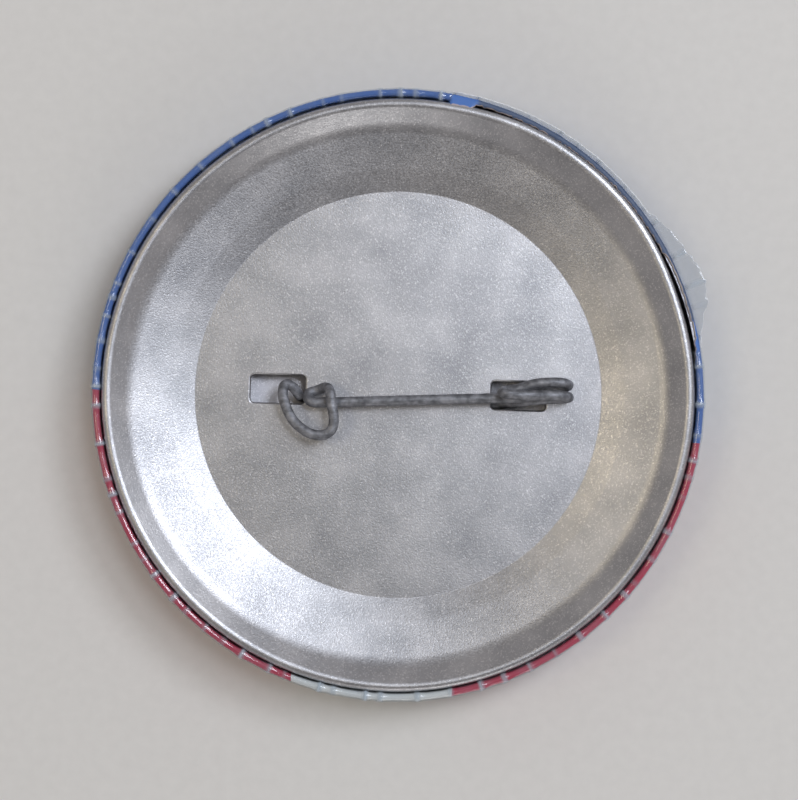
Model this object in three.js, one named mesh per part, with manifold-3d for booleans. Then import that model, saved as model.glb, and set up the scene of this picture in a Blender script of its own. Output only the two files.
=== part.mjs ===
// A round pin-back button badge, lying on its printed face, in millimetres.
//
// The origin is the middle of the printed face. +Z points from that face to the pin side, and +X runs
// along the pin from its spring coil to its catch. A tinplate shell carries a printed paper disc and a
// clear film, both wrapped over the shell's edge and tucked in. The back plate, a shallow dish, is
// pressed in and holds them. One sprung wire is threaded through two slots in the plate: it makes the
// catch, a hidden run under the plate, the spring coil and the pin.

import * as THREE from 'three';
import { mergeVertices } from 'three/addons/utils/BufferGeometryUtils.js';
import Module from 'manifold-3d';

const wasm = await Module();
wasm.setup();

// Badge body
const badgeDiameter = 57.15;
const bodyHeight = 6.2;
const faceFlatRadius = 1.5;
const domeRadius = 160;
const shoulderRadius = 2.2;
const roundSegments = 48;

// Layers of the front, from the outside in
const filmThickness = 0.1;
const paperThickness = 0.12;
const shellThickness = 0.3;
const layerGap = 0.04;
const tuckDepth = 1.6;

// Back plate
const plateThickness = 0.3;
const plateRadius = 27.6;
const discRadius = 19.1;
const discHeight = 3.75;
const rimRise = 2.7;
const slotLength = 5.12;
const slotWidth = 2.62;
const slotCorner = 0.4;
const slotSpacing = 22.6;
const slotLineY = 0.23;

// Sprung wire. Heights of the wire are given above the plate's flat centre.
const wireRadius = 0.475;
const wireSides = 8;
const stepsPerBend = 4;
const cutGap = 0.3;
const hiddenRunHeight = -0.93;
const legHeight = 0.6;
const armHeight = 1.8;
const armSlope = 0.0537;
const armY = -0.525;
const armStartX = -7.2;
const armTipX = 15.1;
const coilTurnX = -7.75;
const pointLength = 3.6;
const pointWaistLength = 1.6;
const pointWaistRadius = 0.3;
const bendX = 14.65;

const skirtRadius = badgeDiameter / 2;
const wrapRadius = filmThickness + paperThickness + 2 * layerGap + shellThickness / 2;
const edgeCentre = new THREE.Vector2(skirtRadius - wrapRadius, bodyHeight - wrapRadius);
const tuckEnd = edgeCentre.y - tuckDepth + wrapRadius;
const paperOffset = filmThickness + layerGap;
const shellOffset = paperOffset + paperThickness + layerGap;

const flatAngle = Math.asin(faceFlatRadius / domeRadius);
const domeCentreZ = domeRadius * Math.cos(flatAngle);
const shoulderCentreR = skirtRadius - shoulderRadius;
const shoulderAngle = Math.asin(shoulderCentreR / (domeRadius - shoulderRadius));
const shoulderCentreZ = domeCentreZ - (domeRadius - shoulderRadius) * Math.cos(shoulderAngle);

// Points of an arc from one angle to another, measured from straight down towards the outside.
function arcPoints(centreR, centreZ, radius, from, to, steps) {
  const points = [];
  for (let i = 0; i <= steps; i += 1) {
    const angle = from + (to - from) * (i / steps);
    points.push(new THREE.Vector2(centreR + radius * Math.sin(angle), centreZ - radius * Math.cos(angle)));
  }
  return points;
}

// The front's surface at a given depth inside it: flat spot, dome, shoulder and skirt up to the edge.
function frontSurface(depth) {
  const domeSteps = 3;
  const shoulderSteps = 3;
  const dome = arcPoints(0, domeCentreZ, domeRadius - depth, flatAngle, shoulderAngle, domeSteps);
  const shoulder = arcPoints(shoulderCentreR, shoulderCentreZ, shoulderRadius - depth,
    shoulderAngle, Math.PI / 2, shoulderSteps);
  const middle = new THREE.Vector2(0, dome[0].y);
  const edge = new THREE.Vector2(skirtRadius - depth, edgeCentre.y);
  return [middle, ...dome, ...shoulder.slice(1), edge];
}

// The same surface carried on over the shell's edge and down inside the skirt.
function wrappedSurface(depth) {
  const wrapSteps = 4;
  const radius = wrapRadius - depth;
  const wrap = arcPoints(edgeCentre.x, edgeCentre.y, radius, Math.PI / 2, 1.5 * Math.PI, wrapSteps);
  return [...frontSurface(depth), ...wrap.slice(1), new THREE.Vector2(edgeCentre.x - radius, tuckEnd)];
}

// A closed outline between an outer surface and an inner one, turned about Z.
function turned(outerSurface, innerSurface) {
  const outline = [...outerSurface, ...innerSurface.slice().reverse()];
  const geometry = new THREE.LatheGeometry(outline, roundSegments);
  geometry.rotateX(Math.PI / 2);
  return geometry;
}

// Moves an open outline sideways by a distance, keeping its legs parallel.
function offsetOutline(points, distance) {
  return points.map((point, i) => {
    const before = points[Math.max(i - 1, 0)];
    const after = points[Math.min(i + 1, points.length - 1)];
    const incoming = i === 0 ? after.clone().sub(point) : point.clone().sub(before);
    const outgoing = i === points.length - 1 ? incoming.clone() : after.clone().sub(point);
    incoming.normalize();
    outgoing.normalize();
    const normal = new THREE.Vector2(incoming.y + outgoing.y, -incoming.x - outgoing.x).normalize();
    const stretch = 1 / Math.max(0.5, normal.x * incoming.y - normal.y * incoming.x);
    return point.clone().addScaledVector(normal, distance * stretch);
  });
}

function toManifold(geometry) {
  const bare = geometry.clone();
  bare.deleteAttribute('normal');
  bare.deleteAttribute('uv');
  const merged = mergeVertices(bare);
  return new wasm.Manifold(new wasm.Mesh({
    numProp: 3,
    vertProperties: new Float32Array(merged.attributes.position.array),
    triVerts: new Uint32Array(merged.index.array),
  }));
}

function toGeometry(solid) {
  const mesh = solid.getMesh();
  const geometry = new THREE.BufferGeometry();
  geometry.setAttribute('position', new THREE.BufferAttribute(mesh.vertProperties, 3));
  geometry.setIndex(new THREE.BufferAttribute(mesh.triVerts, 1));
  return geometry;
}

// Back plate: a flat centre, a gently rising ring, a steeper step, a rounded rim and a leg that goes
// down inside the tucked paper.
function backPlate() {
  const station = (r, z) => new THREE.Vector2(r, z);
  const top = [
    station(0, discHeight),
    station(discRadius, discHeight),
    station(21.2, discHeight + 0.56),
    station(24.6, discHeight + 1.31),
    station(25.3, discHeight + 1.6),
    station(26.5, discHeight + 2.45),
    station(26.95, discHeight + rimRise),
    station(27.25, discHeight + 2.6),
    station(27.5, discHeight + 2.25),
    station(plateRadius, discHeight + 1.6),
    station(plateRadius, discHeight + 1.0),
  ];
  const underside = offsetOutline(top, plateThickness);
  underside[0].x = 0;
  const dish = toManifold(turned(underside, top));
  const slots = [-1, 1].map((side) => toManifold(slotCutter(side * slotSpacing / 2)));
  return toGeometry(dish.subtract(slots[0]).subtract(slots[1]));
}

// A rounded rectangle that passes right through the plate's flat centre.
function slotCutter(centreX) {
  const x = slotLength / 2 - slotCorner;
  const y = slotWidth / 2 - slotCorner;
  const quarter = Math.PI / 2;
  const outline = new THREE.Shape();
  outline.absarc(x, y, slotCorner, 0, quarter);
  outline.absarc(-x, y, slotCorner, quarter, 2 * quarter);
  outline.absarc(-x, -y, slotCorner, 2 * quarter, 3 * quarter);
  outline.absarc(x, -y, slotCorner, 3 * quarter, 4 * quarter);
  const depth = 4 * plateThickness;
  const cutter = new THREE.ExtrudeGeometry(outline, { depth, bevelEnabled: false, curveSegments: 2 });
  cutter.translate(centreX, slotLineY, discHeight - plateThickness - depth / 3);
  return cutter;
}

// A wire's centre line. Each stretch between two points has the same number of steps, so the straight
// runs cost few facets and the bends stay round.
class WirePath extends THREE.CatmullRomCurve3 {
  getUtoTmapping(u) {
    return u;
  }
}

// A point of the wire, with its height above the plate's flat centre.
function onWire(x, y, height) {
  return new THREE.Vector3(x, y, discHeight + height);
}

// Where the straight pin lies across the plate, at a given X.
function armLineY(x) {
  return armY + x * armSlope;
}

// A half turn of the wire from one point to another, bulging along X. Both ends are included.
function halfTurn(from, to, side) {
  const steps = 4;
  const centre = from.clone().add(to).multiplyScalar(0.5);
  const radius = from.distanceTo(to) / 2;
  const points = [];
  for (let i = 0; i <= steps; i += 1) {
    const angle = Math.PI * (i / steps);
    const point = centre.clone().addScaledVector(from.clone().sub(centre), Math.cos(angle));
    point.x += side * radius * Math.sin(angle);
    points.push(point);
  }
  return points;
}

function sweptWire(points) {
  const section = new THREE.Shape().absarc(0, 0, wireRadius, 0, 2 * Math.PI);
  return new THREE.ExtrudeGeometry(section, {
    extrudePath: new WirePath(points),
    steps: (points.length - 1) * stepsPerBend,
    curveSegments: wireSides / 2,
    bevelEnabled: false,
  });
}

// Moves the last point of a wire back along its last stretch, to leave room for the next piece.
function shortened(points, distance) {
  const last = points[points.length - 1];
  const direction = points[points.length - 2].clone().sub(last).normalize();
  return [...points.slice(0, -1), last.clone().addScaledVector(direction, distance)];
}

// The point where the wire comes up out of its slot and bends over: the pin turns about it.
const pivot = onWire(-10.35, 0.72, 1.05);

// Catch and fixed run: from the cut end under the plate, up through the right slot, round the bend to
// the upper layer, back over the pin, folded, round the second bend, down through the slot, and along
// under the plate to the left slot, where the wire rises to the pivot.
function catchWire() {
  const points = [
    onWire(10.35, 0.8, hiddenRunHeight),
    onWire(10.7, 0.82, -0.55),
    onWire(11.0, 0.85, -0.2),
    onWire(11.8, 0.88, 0.35),
    onWire(12.7, 0.92, legHeight),
    ...halfTurn(onWire(bendX, 1.1, legHeight), onWire(bendX, 1.58, 2.95), 1),
    onWire(12.7, 1.4, 2.85),
    onWire(11.9, 1.15, 2.7),
    onWire(11.0, 0.85, 2.58),
    ...halfTurn(onWire(10.2, 0.68, 2.55), onWire(10.2, 0.39, 3.55), -1),
    onWire(11.2, 0.33, 3.5),
    onWire(12.8, 0.33, 3.3),
    ...halfTurn(onWire(bendX, 0.37, 3.1), onWire(bendX, 0.08, legHeight), 1),
    onWire(12.7, -0.12, legHeight),
    onWire(11.8, -0.24, 0.35),
    onWire(11.0, -0.36, -0.2),
    onWire(10.3, -0.46, -0.65),
    onWire(9.6, -0.6, -0.9),
    onWire(8.8, -0.72, hiddenRunHeight),
    onWire(-8.68, -0.5, hiddenRunHeight),
    onWire(-9.12, -0.42, -0.75),
    onWire(-9.3, -0.3, -0.31),
    onWire(-9.34, -0.2, 0.1),
    onWire(-9.5, 0.02, 0.5),
    onWire(-9.88, 0.46, 0.82),
    pivot,
  ];
  return sweptWire(shortened(points, cutGap / 2));
}

// Spring coil: from the pivot round one open turn, over the pin, down and round a second, tight turn
// that ends in line with the pin.
function springCoil() {
  const points = [
    pivot,
    onWire(-10.62, 0.6, 1.3),
    onWire(-10.74, 0.18, 1.66),
    onWire(-10.68, -0.5, 2.1),
    onWire(-10.4, -1.3, 2.4),
    onWire(-10.08, -2.0, 2.62),
    onWire(-9.6, -2.7, 2.8),
    onWire(-9.0, -3.25, 2.95),
    onWire(-8.25, -3.72, 3.05),
    onWire(-7.38, -3.95, 3.1),
    onWire(-6.6, -3.85, 3.12),
    onWire(-6.08, -3.42, 3.14),
    onWire(-5.88, -2.72, 3.16),
    onWire(-5.92, -2.0, 3.16),
    onWire(-6.08, -1.25, 3.14),
    onWire(-6.2, -0.6, 3.06),
    onWire(-6.3, 0.05, 2.8),
    onWire(-6.5, 0.42, 2.25),
    onWire(-6.85, 0.5, 1.65),
    onWire(-7.3, 0.32, 1.15),
    ...halfTurn(onWire(coilTurnX, 0.15, 1.0), onWire(coilTurnX, armLineY(coilTurnX), armHeight), -1),
    onWire(armStartX - cutGap, armLineY(armStartX - cutGap), armHeight),
  ];
  const towardsPivot = shortened(points.reverse(), cutGap / 2);
  return sweptWire(towardsPivot);
}

// Pin arm: straight wire with a ground point.
function pinArm() {
  const length = (armTipX - armStartX) * Math.hypot(1, armSlope);
  const profile = [
    new THREE.Vector2(0, 0),
    new THREE.Vector2(wireRadius, 0),
    new THREE.Vector2(wireRadius, length - pointLength),
    new THREE.Vector2(pointWaistRadius, length - pointWaistLength),
    new THREE.Vector2(0, length),
  ];
  const arm = new THREE.LatheGeometry(profile, wireSides);
  arm.rotateZ(-Math.PI / 2);
  return arm;
}

function metal(colour, roughness) {
  return new THREE.MeshStandardMaterial({ color: colour, roughness, metalness: 1 });
}

function coated(colour, roughness) {
  return new THREE.MeshStandardMaterial({ color: colour, roughness, metalness: 0 });
}

const badge = new THREE.Group();

function add(name, geometry, material) {
  const mesh = new THREE.Mesh(geometry, material);
  mesh.name = name;
  badge.add(mesh);
  return mesh;
}

const film = turned(wrappedSurface(0), wrappedSurface(filmThickness));
const paper = turned(wrappedSurface(paperOffset), wrappedSurface(paperOffset + paperThickness));
const shell = turned(frontSurface(shellOffset), frontSurface(shellOffset + shellThickness));

add('clear_film', film, coated('#dfe5ea', 0.12));
add('printed_paper', paper, coated('#3f63a8', 0.45));
add('front_shell', shell, metal('#b9bbbf', 0.35));
add('back_plate', backPlate(), metal('#b4b4b8', 0.38));
add('catch_wire', catchWire(), metal('#85878c', 0.42));
add('spring_coil', springCoil(), metal('#85878c', 0.42));

const arm = add('pin_arm', pinArm(), metal('#85878c', 0.4));
arm.position.copy(onWire(armStartX, armLineY(armStartX), armHeight));
arm.rotation.z = Math.atan(armSlope);

export default badge;
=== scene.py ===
"""A round pin-back button badge lying on its printed face, seen from its pin side.

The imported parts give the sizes. Round sheets are drawn out ring by ring from a small disc, the wire is
swept along its bends, and every finish is a node material on object coordinates.
"""

import math
import random

import bmesh
import bpy
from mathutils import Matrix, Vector, noise


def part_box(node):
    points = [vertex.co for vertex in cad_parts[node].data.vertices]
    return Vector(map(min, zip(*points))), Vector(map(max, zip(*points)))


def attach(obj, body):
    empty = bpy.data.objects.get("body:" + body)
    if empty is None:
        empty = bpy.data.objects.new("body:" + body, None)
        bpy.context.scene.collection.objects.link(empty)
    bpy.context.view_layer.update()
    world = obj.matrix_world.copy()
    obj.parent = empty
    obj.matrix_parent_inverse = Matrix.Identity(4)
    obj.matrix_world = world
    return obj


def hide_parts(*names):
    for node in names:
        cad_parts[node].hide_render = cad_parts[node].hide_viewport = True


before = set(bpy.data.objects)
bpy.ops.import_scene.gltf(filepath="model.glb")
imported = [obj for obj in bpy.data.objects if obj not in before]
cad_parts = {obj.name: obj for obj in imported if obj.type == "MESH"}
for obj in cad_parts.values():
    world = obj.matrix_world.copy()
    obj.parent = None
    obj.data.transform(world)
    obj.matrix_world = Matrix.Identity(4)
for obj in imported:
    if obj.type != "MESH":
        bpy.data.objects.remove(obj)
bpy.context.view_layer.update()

MM = 0.001

# The badge's own sizes in millimetres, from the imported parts.
film_low, film_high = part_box("clear_film")
plate_low, plate_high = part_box("back_plate")
arm_low, arm_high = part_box("pin_arm")
BADGE_RADIUS = film_high.x / MM
EDGE_TOP = film_high.z / MM
PLATE_TOP = plate_high.z / MM
PLATE_RADIUS = plate_high.x / MM
WIRE = (arm_high.z - arm_low.z) / MM / 2
ARM_HEIGHT = (arm_high.z + arm_low.z) / MM / 2
ARM_TIP = arm_high.x / MM

# Sizes that the parts' boxes don't give, in millimetres.
DISC = PLATE_TOP - 2.7
FILM = 0.1
PAPER = 0.12
SHELL = 0.3
PLATE = 0.3
LAYER_GAP = 0.04
WRAP = FILM + PAPER + 2 * LAYER_GAP + SHELL / 2
EDGE_R = BADGE_RADIUS - WRAP
EDGE_Z = EDGE_TOP - WRAP
DOME_RADIUS = 160
SHOULDER_RADIUS = 2.2
FACE_FLAT = 1.5
TUCK = 1.15
SLOT_LENGTH = 5.12
SLOT_WIDTH = 2.62
SLOT_CORNER = 0.4
SLOT_SPACING = 22.6
SLOT_LINE_Y = 0.23
SLOT_EDGE_ROUNDING = 0.2

# Where the film and the paper have torn out of the tuck: degrees along the rim, and for each the
# length of film in mm that stands loose there.
LOOSE_FILM = [(10.4, 0.05), (12.5, 0.45), (15.4, 1.1), (18.7, 1.95), (22.1, 2.35), (25.7, 2.2),
              (30.5, 1.65), (36.3, 1.0), (38.0, 0.62), (60.0, 0.7), (80.6, 0.5), (81.4, 0.05)]
# The same for the length of paper that is left past the top of the skirt.
LEFT_PAPER = [(6.5, 2.1), (8.5, 0.8), (15.3, 0.34), (16.2, 0.5), (28.2, 0.42), (30.0, 0.74),
              (76.6, 0.78), (77.4, 1.3), (81.3, 1.3), (81.9, 2.1)]
SCRAP_FROM = 76.8
SCRAP_TO = 81.6
LOOSE_FROM = 10.4
LOOSE_TO = 81.4
FLAP_ENDS = 38

# The printed fields, in millimetres: blue lies above a line that slopes a little, and red below it
# with a white band across.
FIELD_SLOPE = -0.06
FIELD_LINE_Y = -2.0
BAND_MIDDLE_X = -1.7
BAND_HALF_WIDTH = 7.5


# ---------------------------------------------------------------- modelling helpers

def rgb(code):
    """A linear colour from an sRGB hex code."""
    values = [int(code[i:i + 2], 16) / 255 for i in (1, 3, 5)]
    linear = [v / 12.92 if v <= 0.04045 else ((v + 0.055) / 1.055) ** 2.4 for v in values]
    return (*linear, 1.0)


def smooth_step(start, stop, value):
    """0 before start, 1 after stop and a smooth rise between them."""
    t = min(max((value - start) / (stop - start), 0.0), 1.0)
    return t * t * (3 - 2 * t)


def deselect_all():
    if bpy.context.object and bpy.context.object.mode != "OBJECT":
        bpy.ops.object.mode_set(mode="OBJECT")
    bpy.ops.object.select_all(action="DESELECT")


def only(piece):
    """Makes one piece the selected and active one."""
    deselect_all()
    piece.select_set(True)
    bpy.context.view_layer.objects.active = piece


def apply_modifier(piece, kind, **settings):
    only(piece)
    modifier = piece.modifiers.new(kind.title(), kind)
    for key, value in settings.items():
        setattr(modifier, key, value)
    bpy.ops.object.modifier_apply(modifier=modifier.name)


def turned_sheet(name, stations, segments, middle):
    """A round sheet drawn out from its middle disc, one ring for each (radius, height) in mm."""
    deselect_all()
    radius, height = stations[0]
    bpy.ops.mesh.primitive_circle_add(
        vertices=segments, radius=radius * MM, fill_type=middle, location=(0, 0, height * MM))
    piece = bpy.context.object
    piece.name = name
    bpy.ops.object.transform_apply(location=True, rotation=True, scale=True)
    bpy.ops.object.mode_set(mode="EDIT")
    bpy.ops.mesh.select_mode(type="EDGE")
    bpy.ops.mesh.select_all(action="SELECT")
    bpy.ops.mesh.region_to_loop()
    for next_radius, next_height in stations[1:]:
        bpy.ops.mesh.extrude_edges_move()
        scale = next_radius / radius
        bpy.ops.transform.resize(value=(scale, scale, 1), center_override=(0, 0, 0))
        bpy.ops.transform.translate(value=(0, 0, (next_height - height) * MM))
        radius, height = next_radius, next_height
    bpy.ops.object.mode_set(mode="OBJECT")
    return piece


def face_middle(piece, up):
    """Turns a sheet's faces so that the one nearest the middle faces up or down."""
    only(piece)
    bpy.ops.object.mode_set(mode="EDIT")
    bpy.ops.mesh.select_all(action="SELECT")
    bpy.ops.mesh.normals_make_consistent(inside=False)
    mesh = bmesh.from_edit_mesh(piece.data)
    middle = min(mesh.faces, key=lambda face: face.calc_center_median().xy.length)
    if (middle.normal.z > 0) != up:
        bpy.ops.mesh.flip_normals()
    bpy.ops.object.mode_set(mode="OBJECT")


def arc(centre_r, centre_z, radius, start, stop, steps):
    """Points of an arc in degrees from straight down, turning outwards."""
    points = []
    for i in range(steps + 1):
        angle = math.radians(start + (stop - start) * i / steps)
        points.append((centre_r + radius * math.sin(angle), centre_z - radius * math.cos(angle)))
    return points


def rounded_outline(corners, steps=6):
    """An open outline in mm with an arc at each inner corner (r, z, rounding)."""
    outline = [corners[0][:2]]
    for before, corner, after in zip(corners, corners[1:], corners[2:]):
        here = Vector(corner[:2])
        back = (Vector(before[:2]) - here).normalized()
        ahead = (Vector(after[:2]) - here).normalized()
        half = back.angle(ahead) / 2
        centre = here + (back + ahead).normalized() * corner[2] / math.sin(half)
        start = here + back * corner[2] / math.tan(half) - centre
        stop = here + ahead * corner[2] / math.tan(half) - centre
        turn = start.angle(stop)
        for i in range(steps + 1):
            share = i / steps
            spoke = start * math.sin((1 - share) * turn) + stop * math.sin(share * turn)
            outline.append(tuple(centre + spoke / math.sin(turn)))
    outline.append(corners[-1][:2])
    return outline


def front_stations(depth):
    """The domed front at a depth inside its outer face, up to where the skirt ends."""
    flat = math.degrees(math.asin(FACE_FLAT / DOME_RADIUS))
    dome_z = DOME_RADIUS * math.cos(math.radians(flat))
    shoulder_r = BADGE_RADIUS - SHOULDER_RADIUS
    lean = math.asin(shoulder_r / (DOME_RADIUS - SHOULDER_RADIUS))
    shoulder_z = dome_z - (DOME_RADIUS - SHOULDER_RADIUS) * math.cos(lean)
    lean = math.degrees(lean)
    dome = arc(0, dome_z, DOME_RADIUS - depth, flat, lean, 8)
    shoulder = arc(shoulder_r, shoulder_z, SHOULDER_RADIUS - depth, lean, 90, 8)
    skirt = [(BADGE_RADIUS - depth, shoulder_z + (EDGE_Z - shoulder_z) * i / 3) for i in (1, 2, 3)]
    return dome + shoulder[1:] + skirt


def wrapped_stations(depth):
    """The same surface carried over the shell's edge and down inside it."""
    radius = WRAP - depth
    wrap = arc(EDGE_R, EDGE_Z, radius, 90, 270, 10)
    tuck = [(EDGE_R - radius, EDGE_Z - TUCK * i / 4) for i in (1, 2, 3, 4)]
    return front_stations(depth) + wrap[1:] + tuck


def past_edge(radius, height, depth):
    """How far along the sheet a point lies past the top of the skirt, in mm."""
    wrap = WRAP - depth
    if height > EDGE_Z:
        return wrap * math.atan2(height - EDGE_Z, radius - EDGE_R)
    if radius < EDGE_R and height > EDGE_Z - TUCK - 0.1:
        return wrap * math.pi + EDGE_Z - height
    return 0.0


# ---------------------------------------------------------------- material helpers

def new_material(name):
    material = bpy.data.materials.new(name)
    material.use_nodes = True
    material.node_tree.nodes.clear()
    return material


def add_node(material, kind, links=None, **settings):
    """Adds one node. settings are its properties or sockets, and links joins its inputs to outputs."""
    made = material.node_tree.nodes.new(kind)
    for key, value in settings.items():
        if hasattr(made, key):
            setattr(made, key, value)
        else:
            made.inputs[key.replace("_", " ")].default_value = value
    for key, source in (links or {}).items():
        material.node_tree.links.new(source, made.inputs[key])
    return made


def finish_material(material, surface):
    add_node(material, "ShaderNodeOutputMaterial", {"Surface": surface})
    return material


def math_node(material, operation, source, value):
    """The output of a Math node with its first input joined and its second one set."""
    made = add_node(material, "ShaderNodeMath", {0: source}, operation=operation)
    made.inputs[1].default_value = value
    return made.outputs[0]


def colour_mix(material, factor, low, high):
    """The output of a colour mix. Each colour is a hex code or another node's output."""
    made = add_node(material, "ShaderNodeMix", {"Factor": factor}, data_type="RGBA")
    for socket, colour in (("A", low), ("B", high)):
        if isinstance(colour, str):
            made.inputs[socket].default_value = rgb(colour)
        else:
            material.node_tree.links.new(colour, made.inputs[socket])
    return made.outputs["Result"]


def mix_shader(material, factor, first, second):
    """The output of a shader mix."""
    made = add_node(material, "ShaderNodeMixShader", {0: factor, 1: first, 2: second})
    return made.outputs[0]


def patch(material, source, scale, detail=2.0, stretch=(1, 1, 1)):
    """Noise with features of about 1/scale metres, read through a Mapping node."""
    mapped = add_node(material, "ShaderNodeMapping", {"Vector": source}, Scale=stretch)
    return add_node(material, "ShaderNodeTexNoise", {"Vector": mapped.outputs[0]},
                    Scale=scale, Detail=detail)


# ---------------------------------------------------------------- finishes

def tinplate(name, tone, grain_strength):
    """Cold-rolled steel with a matt tin coat: grey, softly clouded, with a fine bright sparkle."""
    m = new_material(name)
    place = add_node(m, "ShaderNodeTexCoord").outputs["Object"]
    clouds = patch(m, place, 230, 5)
    grain = patch(m, place, 7000, 3)
    flecks = add_node(m, "ShaderNodeTexVoronoi", {"Vector": place}, Scale=9500)
    cloudy = add_node(m, "ShaderNodeMapRange", {"Value": clouds.outputs[0]},
                      From_Min=0.3, From_Max=0.7, To_Min=0.0, To_Max=1.0)
    colour = colour_mix(m, cloudy.outputs[0], tone[0], tone[1])
    bright = add_node(m, "ShaderNodeMapRange", {"Value": flecks.outputs["Color"]},
                      From_Min=0.66, From_Max=0.95, To_Min=0.0, To_Max=0.45)
    sparkle = colour_mix(m, bright.outputs[0], colour, tone[2])
    rough = add_node(m, "ShaderNodeMapRange", {"Value": grain.outputs[0]},
                     From_Min=0.35, From_Max=0.65, To_Min=0.31, To_Max=0.48)
    bump = add_node(m, "ShaderNodeBump", {"Height": grain.outputs[0]},
                    Strength=grain_strength, Distance=0.00003)
    shader = add_node(m, "ShaderNodeBsdfPrincipled", {
        "Base Color": sparkle,
        "Roughness": rough.outputs[0],
        "Normal": bump.outputs[0],
    }, Metallic=1.0)
    return finish_material(m, shader.outputs[0])


def plated_wire():
    """Drawn spring steel with a dull nickel plate: darker than the tin, with fine draw marks."""
    m = new_material("nickel_plated_spring_wire")
    place = add_node(m, "ShaderNodeTexCoord").outputs["Object"]
    stains = patch(m, place, 1400, 5)
    blotches = add_node(m, "ShaderNodeMapRange", {"Value": stains.outputs[0]},
                        From_Min=0.35, From_Max=0.65, To_Min=0.0, To_Max=1.0)
    marks = patch(m, place, 3500, 3, (0.25, 2.0, 2.0))
    mottled = colour_mix(m, blotches.outputs[0], "#6e7075", "#a2a4aa")
    rough = add_node(m, "ShaderNodeMapRange", {"Value": marks.outputs[0]},
                     From_Min=0.3, From_Max=0.7, To_Min=0.55, To_Max=0.78)
    bump = add_node(m, "ShaderNodeBump", {"Height": marks.outputs[0]}, Strength=0.25, Distance=0.00003)
    shader = add_node(m, "ShaderNodeBsdfPrincipled", {
        "Base Color": mottled,
        "Roughness": rough.outputs[0],
        "Normal": bump.outputs[0],
    }, Metallic=1.0)
    return finish_material(m, shader.outputs[0])


def clear_film():
    """Polyester film: clear and glossy, with a faint haze, and a painted whitish glint along sharp
    folds.
    """
    m = new_material("clear_polyester_film")
    place = add_node(m, "ShaderNodeTexCoord").outputs["Object"]
    wear = patch(m, place, 400, 5)
    creases = patch(m, place, 260, 3)
    bump = add_node(m, "ShaderNodeBump", {"Height": creases.outputs[0]}, Strength=0.12, Distance=0.0001)
    rough = add_node(m, "ShaderNodeMapRange", {"Value": wear.outputs[0]},
                     From_Min=0.35, From_Max=0.75, To_Min=0.06, To_Max=0.2)
    through = add_node(m, "ShaderNodeBsdfTransparent", Color=rgb("#f6f8fa"))
    haze = add_node(m, "ShaderNodeBsdfDiffuse", Color=rgb("#c3d0dc"))
    gloss = add_node(m, "ShaderNodeBsdfGlossy", {
        "Roughness": rough.outputs[0],
        "Normal": bump.outputs[0],
    }, Color=rgb("#ffffff"))
    hazy = add_node(m, "ShaderNodeMapRange", {"Value": wear.outputs[0]},
                    From_Min=0.4, From_Max=0.8, To_Min=0.0, To_Max=0.06)
    # Painted glint: whitish haze laid along the pleats' folds stands in for light caught at the creases;
    # the rest of the haze is random.
    crease_glint_mask = add_node(m, "ShaderNodeAttribute", attribute_name="crease_glint").outputs["Fac"]
    haze_and_crease_glint = add_node(m, "ShaderNodeMath", {0: crease_glint_mask, 2: hazy.outputs[0]}, operation="MULTIPLY_ADD")
    haze_and_crease_glint.inputs[1].default_value = 0.6
    body = mix_shader(m, haze_and_crease_glint.outputs[0], through.outputs[0], haze.outputs[0])
    slant = add_node(m, "ShaderNodeLayerWeight", {"Normal": bump.outputs[0]}, Blend=0.5)
    steep = math_node(m, "POWER", slant.outputs["Facing"], 4.0)
    shine = add_node(m, "ShaderNodeMapRange", {"Value": steep}, To_Min=0.045, To_Max=0.3)
    return finish_material(m, mix_shader(m, shine.outputs[0], body, gloss.outputs[0]))


def film_edge():
    """The cut or torn edge of the film, painted whitish in patches as a painted highlight for the light
    it gathers.
    """
    m = new_material("polyester_film_edge_with_painted_highlight")
    place = add_node(m, "ShaderNodeTexCoord").outputs["Object"]
    edge_highlight_patches = patch(m, place, 3000, 3)
    clear = add_node(m, "ShaderNodeMapRange", {"Value": edge_highlight_patches.outputs[0]},
                     From_Min=0.3, From_Max=0.7, To_Min=0.45, To_Max=0.9)
    through = add_node(m, "ShaderNodeBsdfTransparent", Color=rgb("#eef2f5"))
    # Painted highlight: a whitish surface, mixed in by patches, stands in for the light that the thin
    # edge gathers.
    white = add_node(m, "ShaderNodeBsdfPrincipled", Base_Color=rgb("#f4f7fa"), Roughness=0.3)
    return finish_material(m, mix_shader(m, clear.outputs[0], through.outputs[0], white.outputs[0]))


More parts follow.
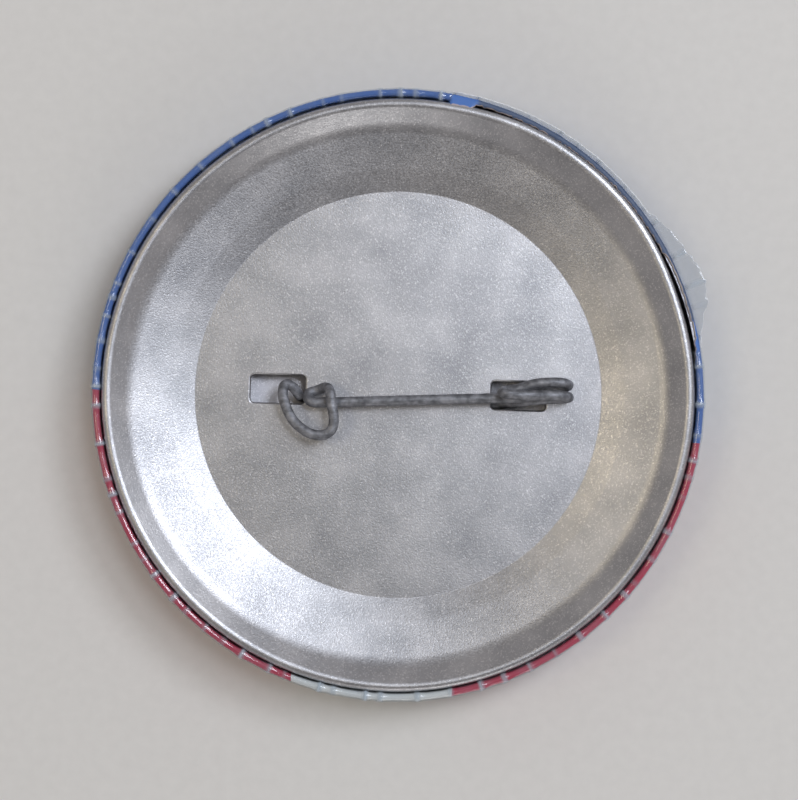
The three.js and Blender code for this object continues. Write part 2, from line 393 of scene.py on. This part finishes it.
def printed_paper():
    """Coated paper printed in three plain fields: blue above, red below, a white band in the red."""
    m = new_material("offset_printed_coated_paper")
    place = add_node(m, "ShaderNodeTexCoord").outputs["Object"]
    split = add_node(m, "ShaderNodeSeparateXYZ", {"Vector": place})
    across, along = split.outputs[0], split.outputs[1]
    slope = math_node(m, "MULTIPLY", across, FIELD_SLOPE)
    line = add_node(m, "ShaderNodeMath", {0: along, 1: slope}, operation="SUBTRACT")
    blue_field = math_node(m, "GREATER_THAN", line.outputs[0], FIELD_LINE_Y * MM)
    from_band = math_node(m, "ADD", across, -BAND_MIDDLE_X * MM)
    band_side = add_node(m, "ShaderNodeMath", {0: from_band}, operation="ABSOLUTE")
    white_band = math_node(m, "LESS_THAN", band_side.outputs[0], BAND_HALF_WIDTH * MM)
    ink = patch(m, place, 3000, 4)
    lower = colour_mix(m, white_band, "#c43a56", "#e6e6e2")
    fields = colour_mix(m, blue_field, lower, "#4a74bb")
    fibres = patch(m, place, 2600, 4)
    worn = add_node(m, "ShaderNodeAttribute", attribute_name="worn")
    rubbed = math_node(m, "MULTIPLY", worn.outputs["Fac"], 0.85)
    scuffed = colour_mix(m, rubbed, fields, "#4a5566")
    torn = add_node(m, "ShaderNodeAttribute", attribute_name="torn_edge")
    split_edge = add_node(m, "ShaderNodeMath", {0: torn.outputs["Fac"], 1: fibres.outputs[0]},
                          operation="ADD")
    bare = add_node(m, "ShaderNodeMapRange", {"Value": split_edge.outputs[0]},
                    From_Min=1.15, From_Max=1.35, To_Min=0.0, To_Max=0.85)
    paper_colour = colour_mix(m, bare.outputs[0], scuffed, "#b9a9a2")
    rough = add_node(m, "ShaderNodeMapRange", {"Value": ink.outputs[0]},
                     From_Min=0.3, From_Max=0.7, To_Min=0.42, To_Max=0.58)
    bump = add_node(m, "ShaderNodeBump", {"Height": ink.outputs[0]}, Strength=0.15, Distance=0.00003)
    shader = add_node(m, "ShaderNodeBsdfPrincipled", {
        "Base Color": paper_colour,
        "Roughness": rough.outputs[0],
        "Normal": bump.outputs[0],
    })
    return finish_material(m, shader.outputs[0])


def bare_paper():
    """The unprinted back and torn edges of the paper: white with a fibrous tooth."""
    m = new_material("bare_paper_fibre")
    place = add_node(m, "ShaderNodeTexCoord").outputs["Object"]
    fibres = patch(m, place, 2600, 5)
    tone = colour_mix(m, fibres.outputs[0], "#cfc6bf", "#f0ebe6")
    bump = add_node(m, "ShaderNodeBump", {"Height": fibres.outputs[0]}, Strength=0.5, Distance=0.00005)
    shader = add_node(m, "ShaderNodeBsdfPrincipled", {
        "Base Color": tone,
        "Normal": bump.outputs[0],
    }, Roughness=0.9)
    return finish_material(m, shader.outputs[0])


# ---------------------------------------------------------------- pleats and the torn stretch

# Pleat heights are in millimetres, and their widths and gaps in degrees round the badge.
PLEAT_TOP = 0.09
CREASE_WIDTH = 0.32
pleat_random = random.Random(11)
pleats = []
pleat_angle = 0.0
while pleat_angle < 360:
    pleats.append((pleat_angle, pleat_random.uniform(0.5, 1.1), pleat_random.uniform(0.02, PLEAT_TOP)))
    pleat_angle += pleat_random.uniform(2.5, 7.5)


def apart(first, second):
    """The angle between two directions, in degrees."""
    return abs((first - second + 180) % 360 - 180)


def pleat_height(angle):
    """How far the gathered film and paper stand off at this angle, in mm."""
    height = 0.0
    for middle, width, top in pleats:
        away = apart(angle, middle)
        if away < 3 * width:
            height += top * math.exp(-(away / width) ** 2)
    return height


def crease(angle):
    """How strong the painted glint along a sharp fold is at this angle, from 0 to 1."""
    whitest = 0.0
    for middle, width, top in pleats:
        away = apart(angle, middle)
        whitest = max(whitest, top / PLEAT_TOP * math.exp(-(away / CREASE_WIDTH) ** 2))
    return whitest


def ragged(angle, size, seed):
    """Unevenness of a torn edge, between -1 and 1, with features of about size degrees."""
    return noise.fractal(Vector((angle / size, seed, 0)), 0.8, 2.0, 3)


def between_angles(angle, start, stop, ease):
    """1 between two angles, 0 outside them, with a smooth rise and fall inside."""
    return smooth_step(start, start + ease, angle) * (1 - smooth_step(stop - ease, stop, angle))


def listed(table, angle):
    """The value at this angle in a list of (angle, value), eased between its entries."""
    for (start, low), (stop, high) in zip(table, table[1:]):
        if start <= angle <= stop:
            return low + (high - low) * smooth_step(start, stop, angle)
    return None


def laid(along, turn, depth):
    """Radius and height of a sheet that bends through a turn in degrees at the top of the skirt.

    180 carries it over the shell's edge and down inside. A negative turn flares it outwards.
    """
    bend = WRAP - depth if turn > 0 else 0.9
    turned = min(along / bend, abs(math.radians(turn)))
    straight = along - bend * turned
    inwards = bend * (1 - math.cos(turned)) + straight * math.sin(turned)
    upwards = bend * math.sin(turned) + straight * math.cos(turned)
    side = -1 if turn > 0 else 1
    return BADGE_RADIUS - depth + side * inwards, EDGE_Z + upwards


def film_lie(angle, longest):
    """The length of film past the skirt at this angle, and the turn it takes there."""
    loose = listed(LOOSE_FILM, angle)
    if loose is None:
        return longest, 180
    out = between_angles(angle, LOOSE_FROM, LOOSE_TO, 1.2)
    flare = -64 if angle < FLAP_ENDS else -38
    return loose * (1 + 0.16 * ragged(angle, 1.6, 4.0)), 40 * (1 - out) + flare * out


def paper_lie(angle, longest):
    """The length of paper past the skirt at this angle, and the turn it takes there."""
    left = listed(LEFT_PAPER, angle)
    if left is None:
        return longest, 180
    if SCRAP_FROM < angle < SCRAP_TO:
        return left + 0.1 * ragged(angle, 0.7, 2.0), 70
    return left * (1 + 0.3 * ragged(angle, 1.1, 9.0)), 180


def gather_edge(piece, depth, lie):
    """Pleats the sheet where it is wrapped over the edge, and lays the torn stretch where it now is."""
    longest = (WRAP - depth) * math.pi + TUCK
    torn_edge = piece.data.attributes.new("torn_edge", "FLOAT", "POINT")
    worn = piece.data.attributes.new("worn", "FLOAT", "POINT")
    for vert in piece.data.vertices:
        x, y, height = vert.co / MM
        radius = math.hypot(x, y)
        angle = math.degrees(math.atan2(y, x)) % 360
        past = past_edge(radius, height, depth)
        length, turn = lie(angle, longest)
        swell = pleat_height(angle) * smooth_step(EDGE_Z - 2.5, EDGE_Z, height)
        if past > 0:
            radius, height = laid(past / longest * length, turn, depth)
        if length < longest:
            swell *= 0.4
            stripped = between_angles(angle, 15, SCRAP_FROM, 1)
            worn.data[vert.index].value = stripped * smooth_step(0, 0.2, past)
            torn_edge.data[vert.index].value = smooth_step(0.55, 1.0, past / longest)
        away = Vector((radius - EDGE_R, height - EDGE_Z))
        if height < EDGE_Z:
            away = Vector((math.copysign(1, away.x), 0))
        away.normalize()
        radius += away.x * swell
        height += away.y * swell
        turn = math.radians(angle)
        vert.co = Vector((radius * math.cos(turn), radius * math.sin(turn), height)) * MM


# ---------------------------------------------------------------- front: film, paper and shell

FRONT_SEGMENTS = 720


def wrapped_layer(name, depth, lie):
    piece = turned_sheet(name, wrapped_stations(depth), FRONT_SEGMENTS, "TRIFAN")
    face_middle(piece, up=False)
    gather_edge(piece, depth, lie)
    return piece


film = wrapped_layer("clear_film_wrap", 0, film_lie)
# Painted glint: the strength of the whitish folds, kept to where the film is gathered over the top of
# the skirt.
crease_glint = film.data.attributes.new("crease_glint", "FLOAT", "POINT")
for vert in film.data.vertices:
    gathered = smooth_step(EDGE_Z - 0.35, EDGE_Z + 0.25, vert.co.z / MM)
    angle = math.degrees(math.atan2(vert.co.y, vert.co.x)) % 360
    crease_glint.data[vert.index].value = gathered * crease(angle)
film.data.materials.append(clear_film())
film.data.materials.append(film_edge())
apply_modifier(film, "SOLIDIFY", thickness=FILM * MM, offset=-1, material_offset_rim=1)
bpy.ops.object.shade_smooth()
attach(film, "badge")
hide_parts("clear_film")

paper_depth = FILM + LAYER_GAP
paper = wrapped_layer("printed_paper_disc", paper_depth, paper_lie)
paper.data.materials.append(printed_paper())
paper.data.materials.append(bare_paper())
apply_modifier(paper, "SOLIDIFY", thickness=PAPER * MM, offset=-1, material_offset=1,
               material_offset_rim=1)
bpy.ops.object.shade_smooth()
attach(paper, "badge")
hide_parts("printed_paper")

shell_depth = paper_depth + PAPER + LAYER_GAP
shell = turned_sheet("tinplate_front_shell", front_stations(shell_depth), 240, "TRIFAN")
face_middle(shell, up=False)
apply_modifier(shell, "SOLIDIFY", thickness=SHELL * MM, offset=-1)
shell.data.materials.append(tinplate("bright_tinplate", ("#9c9ca2", "#c2c2c8", "#f2f2f4"), 0.3))
bpy.ops.object.shade_smooth_by_angle(angle=math.radians(40))
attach(shell, "badge")
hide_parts("front_shell")


# ---------------------------------------------------------------- back plate

def slot_cutter(side):
    """A rounded bar that punches one slot."""
    deselect_all()
    middle = Vector((side * SLOT_SPACING / 2, SLOT_LINE_Y, DISC)) * MM
    bpy.ops.mesh.primitive_cube_add(size=1, location=middle)
    cutter = bpy.context.object
    cutter.scale = (SLOT_LENGTH * MM, SLOT_WIDTH * MM, 2 * MM)
    bpy.ops.object.transform_apply(location=True, rotation=True, scale=True)
    bpy.ops.object.mode_set(mode="EDIT")
    mesh = bmesh.from_edit_mesh(cutter.data)
    for edge in mesh.edges:
        edge.select = abs(edge.verts[0].co.z - edge.verts[1].co.z) > MM
    bmesh.update_edit_mesh(cutter.data)
    bpy.ops.mesh.bevel(offset=SLOT_CORNER * MM, segments=8, affect="EDGES")
    bpy.ops.object.mode_set(mode="OBJECT")
    return cutter


plate_outline = rounded_outline([
    (17.0, DISC, 0),
    (19.1, DISC, 0.4),
    (21.2, DISC + 0.56, 6.0),
    (25.0, DISC + 1.4, 3.2),
    (26.85, DISC + 2.7, 0.7),
    (PLATE_RADIUS, DISC + 2.7, 0.52),
    (PLATE_RADIUS, DISC + 1.0, 0),
])
plate = turned_sheet("tinplate_back_plate", plate_outline, 360, "NGON")
face_middle(plate, up=True)
# Where the crimp has opened, the plate's rim has sprung outwards a little.
for vert in plate.data.vertices:
    radius = vert.co.xy.length / MM
    angle = math.degrees(math.atan2(vert.co.y, vert.co.x)) % 360
    sprung = 0.3 * between_angles(angle, 18, 84, 24) * smooth_step(25.5, 27.2, radius)
    vert.co.xy *= 1 + sprung / radius
apply_modifier(plate, "SOLIDIFY", thickness=PLATE * MM, offset=-1)
for side in (-1, 1):
    cutter = slot_cutter(side)
    apply_modifier(plate, "BOOLEAN", object=cutter, operation="DIFFERENCE", solver="EXACT")
    bpy.data.objects.remove(cutter)
only(plate)
bpy.ops.object.mode_set(mode="EDIT")
bpy.ops.mesh.select_mode(type="EDGE")
bpy.ops.mesh.select_all(action="DESELECT")
plate_mesh = bmesh.from_edit_mesh(plate.data)
for edge in plate_mesh.edges:
    level = all(abs(vert.co.z - DISC * MM) < 0.001 * MM for vert in edge.verts)
    corner = len(edge.link_faces) == 2 and edge.calc_face_angle() > 1.0
    edge.select = level and corner
bmesh.update_edit_mesh(plate.data)
bpy.ops.mesh.bevel(offset=SLOT_EDGE_ROUNDING * MM, segments=4, affect="EDGES")
bpy.ops.object.mode_set(mode="OBJECT")
plate.data.materials.append(tinplate("satin_tinplate", ("#9fa0a4", "#bcbcbf", "#f4f3f3"), 0.5))
bpy.ops.object.shade_smooth_by_angle(angle=math.radians(40))
apply_modifier(plate, "WEIGHTED_NORMAL", weight=100, keep_sharp=True)
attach(plate, "badge")
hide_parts("back_plate")


# ---------------------------------------------------------------- sprung wire

def on_wire(x, y, height):
    """A point of the wire's centre line in mm, with its height above the plate's flat centre."""
    return Vector((x, y, DISC + height))


def half_turn(start, stop, side):
    """A half turn of the wire from one point to another, bulging along X."""
    centre = (start + stop) / 2
    radius = (stop - start).length / 2
    points = []
    for i in range(5):
        angle = math.pi * i / 4
        point = centre + (start - centre) * math.cos(angle)
        point.x += side * radius * math.sin(angle)
        points.append(point)
    return points


def between(a, b, at_a, at_b, t):
    """The point at t on the line that is at a for at_a and at b for at_b."""
    return a * ((at_b - t) / (at_b - at_a)) + b * ((t - at_a) / (at_b - at_a))


def smooth_path(points, spacing):
    """Points along a smooth curve through the given ones, about a spacing apart."""
    ends = [2 * points[0] - points[1], *points, 2 * points[-1] - points[-2]]
    path = []
    for before, start, stop, after in zip(ends, ends[1:], ends[2:], ends[3:]):
        knots = [0.0]
        for a, b in ((before, start), (start, stop), (stop, after)):
            knots.append(knots[-1] + math.sqrt((b - a).length))
        steps = max(2, round((stop - start).length / spacing))
        for i in range(steps):
            t = knots[1] + (knots[2] - knots[1]) * i / steps
            first = between(before, start, knots[0], knots[1], t)
            second = between(start, stop, knots[1], knots[2], t)
            third = between(stop, after, knots[2], knots[3], t)
            left = between(first, second, knots[0], knots[2], t)
            right = between(second, third, knots[1], knots[3], t)
            path.append(between(left, right, knots[1], knots[2], t))
    path.append(points[-1].copy())
    return path


def round_end(point, towards, steps=5):
    """(place, radius) pairs that close a wire with a half ball about a point."""
    pairs = []
    for i in range(1, steps + 1):
        angle = math.pi / 2 * i / steps
        pairs.append((point + towards * WIRE * math.sin(angle), max(WIRE * math.cos(angle), 0.004)))
    return pairs


def wire_tube(name, stations):
    """A round wire through (place, radius) pairs in mm."""
    deselect_all()
    bpy.ops.curve.primitive_bezier_curve_add()
    piece = bpy.context.object
    piece.name = name
    curve = piece.data
    curve.splines.clear()
    spline = curve.splines.new("POLY")
    spline.points.add(len(stations) - 1)
    for point, (place, radius) in zip(spline.points, stations):
        point.co = (*(place * MM), 1)
        point.radius = radius / WIRE
    curve.dimensions = "3D"
    curve.bevel_depth = WIRE * MM
    curve.bevel_resolution = 5
    curve.use_fill_caps = True
    only(piece)
    bpy.ops.object.convert(target="MESH")
    piece = bpy.context.object
    bpy.ops.object.transform_apply(location=True, rotation=True, scale=True)
    bpy.ops.object.shade_smooth_by_angle(angle=math.radians(50))
    return piece


HIDDEN_RUN = -0.93
LEG = 0.6
BEND_X = 14.65
ARM_Y = -0.525
ARM_SLOPE = 0.0537
POINT_LENGTH = 3.6
pivot = on_wire(-10.35, 0.72, 1.05)

catch_points = [
    on_wire(10.35, 0.8, HIDDEN_RUN),
    on_wire(10.7, 0.82, -0.55),
    on_wire(11.0, 0.85, -0.2),
    on_wire(11.8, 0.88, 0.35),
    on_wire(12.7, 0.92, LEG),
    *half_turn(on_wire(BEND_X, 1.1, LEG), on_wire(BEND_X, 1.58, 2.95), 1),
    on_wire(12.7, 1.4, 2.85),
    on_wire(11.9, 1.15, 2.7),
    on_wire(11.0, 0.85, 2.58),
    *half_turn(on_wire(10.2, 0.68, 2.55), on_wire(10.2, 0.39, 3.55), -1),
    on_wire(11.2, 0.33, 3.5),
    on_wire(12.8, 0.33, 3.3),
    *half_turn(on_wire(BEND_X, 0.37, 3.1), on_wire(BEND_X, 0.08, LEG), 1),
    on_wire(12.7, -0.12, LEG),
    on_wire(11.8, -0.24, 0.35),
    on_wire(11.0, -0.36, -0.2),
    on_wire(10.3, -0.46, -0.65),
    on_wire(9.6, -0.6, -0.9),
    on_wire(8.8, -0.72, HIDDEN_RUN),
    on_wire(-8.68, -0.5, HIDDEN_RUN),
    on_wire(-9.12, -0.42, -0.75),
    on_wire(-9.3, -0.3, -0.31),
    on_wire(-9.34, -0.2, 0.1),
    on_wire(-9.5, 0.02, 0.5),
    on_wire(-9.88, 0.46, 0.82),
    pivot,
]
coil_points = [
    pivot,
    on_wire(-10.62, 0.6, 1.3),
    on_wire(-10.74, 0.18, 1.66),
    on_wire(-10.68, -0.5, 2.1),
    on_wire(-10.4, -1.3, 2.4),
    on_wire(-10.08, -2.0, 2.62),
    on_wire(-9.6, -2.7, 2.8),
    on_wire(-9.0, -3.25, 2.95),
    on_wire(-8.25, -3.72, 3.05),
    on_wire(-7.38, -3.95, 3.1),
    on_wire(-6.6, -3.85, 3.12),
    on_wire(-6.08, -3.42, 3.14),
    on_wire(-5.88, -2.72, 3.16),
    on_wire(-5.92, -2.0, 3.16),
    on_wire(-6.08, -1.25, 3.14),
    on_wire(-6.2, -0.6, 3.06),
    on_wire(-6.3, 0.05, 2.8),
    on_wire(-6.5, 0.42, 2.25),
    on_wire(-6.85, 0.5, 1.65),
    on_wire(-7.3, 0.32, 1.15),
    *half_turn(on_wire(-7.75, 0.15, 1.0),
               on_wire(-7.75, ARM_Y - 7.75 * ARM_SLOPE, ARM_HEIGHT - DISC), -1),
    on_wire(-7.2, ARM_Y - 7.2 * ARM_SLOPE, ARM_HEIGHT - DISC),
]
WIRE_STEP = 0.14
wire_finish = plated_wire()

catch_path = smooth_path(catch_points, WIRE_STEP)
catch_end = (catch_path[-1] - catch_path[-2]).normalized()
catch = wire_tube("wire_catch", [(point, WIRE) for point in catch_path] + round_end(pivot, catch_end))
catch.data.materials.append(wire_finish)
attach(catch, "badge")
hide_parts("catch_wire")

coil_path = smooth_path(coil_points, WIRE_STEP)
arm_start = coil_points[-1]
arm_end = on_wire(ARM_TIP, ARM_Y + ARM_TIP * ARM_SLOPE, ARM_HEIGHT - DISC)
arm_length = (arm_end - arm_start).length
arm_steps = 80
pin_stations = list(reversed(round_end(pivot, (coil_path[0] - coil_path[1]).normalized())))
pin_stations += [(point, WIRE) for point in coil_path]
for i in range(1, arm_steps + 1):
    place = arm_start.lerp(arm_end, i / arm_steps)
    left = arm_length * (1 - i / arm_steps)
    taper = math.sqrt(min(left / POINT_LENGTH, 1) ** 1.3)
    pin_stations.append((place, max(WIRE * taper, 0.02)))
pin = wire_tube("spring_pin_wire", pin_stations)
pin.data.materials.append(wire_finish)
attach(pin, "pin")
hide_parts("spring_coil", "pin_arm")


# ---------------------------------------------------------------- floor, light and camera

def pale_floor():
    """Matt white board."""
    m = new_material("matt_white_board")
    place = add_node(m, "ShaderNodeTexCoord").outputs["Object"]
    tooth = patch(m, place, 900, 3)
    tone = colour_mix(m, tooth.outputs[0], "#d3d2cf", "#dcdbd8")
    shader = add_node(m, "ShaderNodeBsdfPrincipled", {"Base Color": tone}, Roughness=0.85)
    return finish_material(m, shader.outputs[0])


deselect_all()
bpy.ops.mesh.primitive_plane_add(size=2.0, location=(0, 0, 0))
floor = bpy.context.object
floor.name = "floor"
floor.data.materials.append(pale_floor())


def soft_light(name, azimuth, elevation, distance, size, energy, colour):
    """A square soft box that faces the badge. Azimuth runs from +X towards +Y, in degrees."""
    turn, rise = math.radians(azimuth), math.radians(elevation)
    place = Vector((math.cos(turn) * math.cos(rise), math.sin(turn) * math.cos(rise), math.sin(rise)))
    bpy.ops.object.light_add(type="AREA", location=place * distance)
    lamp = bpy.context.object
    lamp.name = name
    lamp.rotation_euler = place.to_track_quat("Z", "Y").to_euler()
    lamp.data.size = size
    lamp.data.energy = energy
    lamp.data.color = rgb(colour)[:3]
    return lamp


soft_light("window", 36, 50, 0.6, 0.2, 1.25, "#f1f6ff")
soft_light("upper_soft_box", 38, 71, 0.7, 0.2, 1.0, "#eef4ff")
soft_light("warm_fill", 172, 62, 0.6, 0.2, 0.42, "#ffefcf")
soft_light("low_fill", 282, 21, 0.7, 0.3, 0.55, "#f7f6f4")

# A pale room: brighter walls, a darker ceiling.
world = bpy.data.worlds.new("soft_studio")
world.use_nodes = True
direction = add_node(world, "ShaderNodeTexCoord").outputs["Generated"]
upwards = add_node(world, "ShaderNodeSeparateXYZ", {"Vector": direction}).outputs[2]
room = add_node(world, "ShaderNodeMapRange", {"Value": upwards}, From_Min=0.3, From_Max=0.8,
                To_Min=1.0, To_Max=0.42)
background = world.node_tree.nodes["Background"]
background.inputs["Color"].default_value = rgb("#bbb6b5")
world.node_tree.links.new(room.outputs[0], background.inputs["Strength"])
bpy.context.scene.world = world

CAMERA_DISTANCE = 220
FRAME_WIDTH = 74.3
CAMERA_TURN = 1.67
camera_data = bpy.data.cameras.new("camera")
camera_data.sensor_width = 36
camera_data.lens = 36 * CAMERA_DISTANCE / FRAME_WIDTH
camera = bpy.data.objects.new("camera", camera_data)
bpy.context.scene.collection.objects.link(camera)
camera.location = Vector((0.1, -0.47, EDGE_TOP + CAMERA_DISTANCE)) * MM
camera.rotation_euler = (0, 0, math.radians(CAMERA_TURN))
bpy.context.scene.camera = camera
bpy.context.scene.view_settings.view_transform = "Standard"
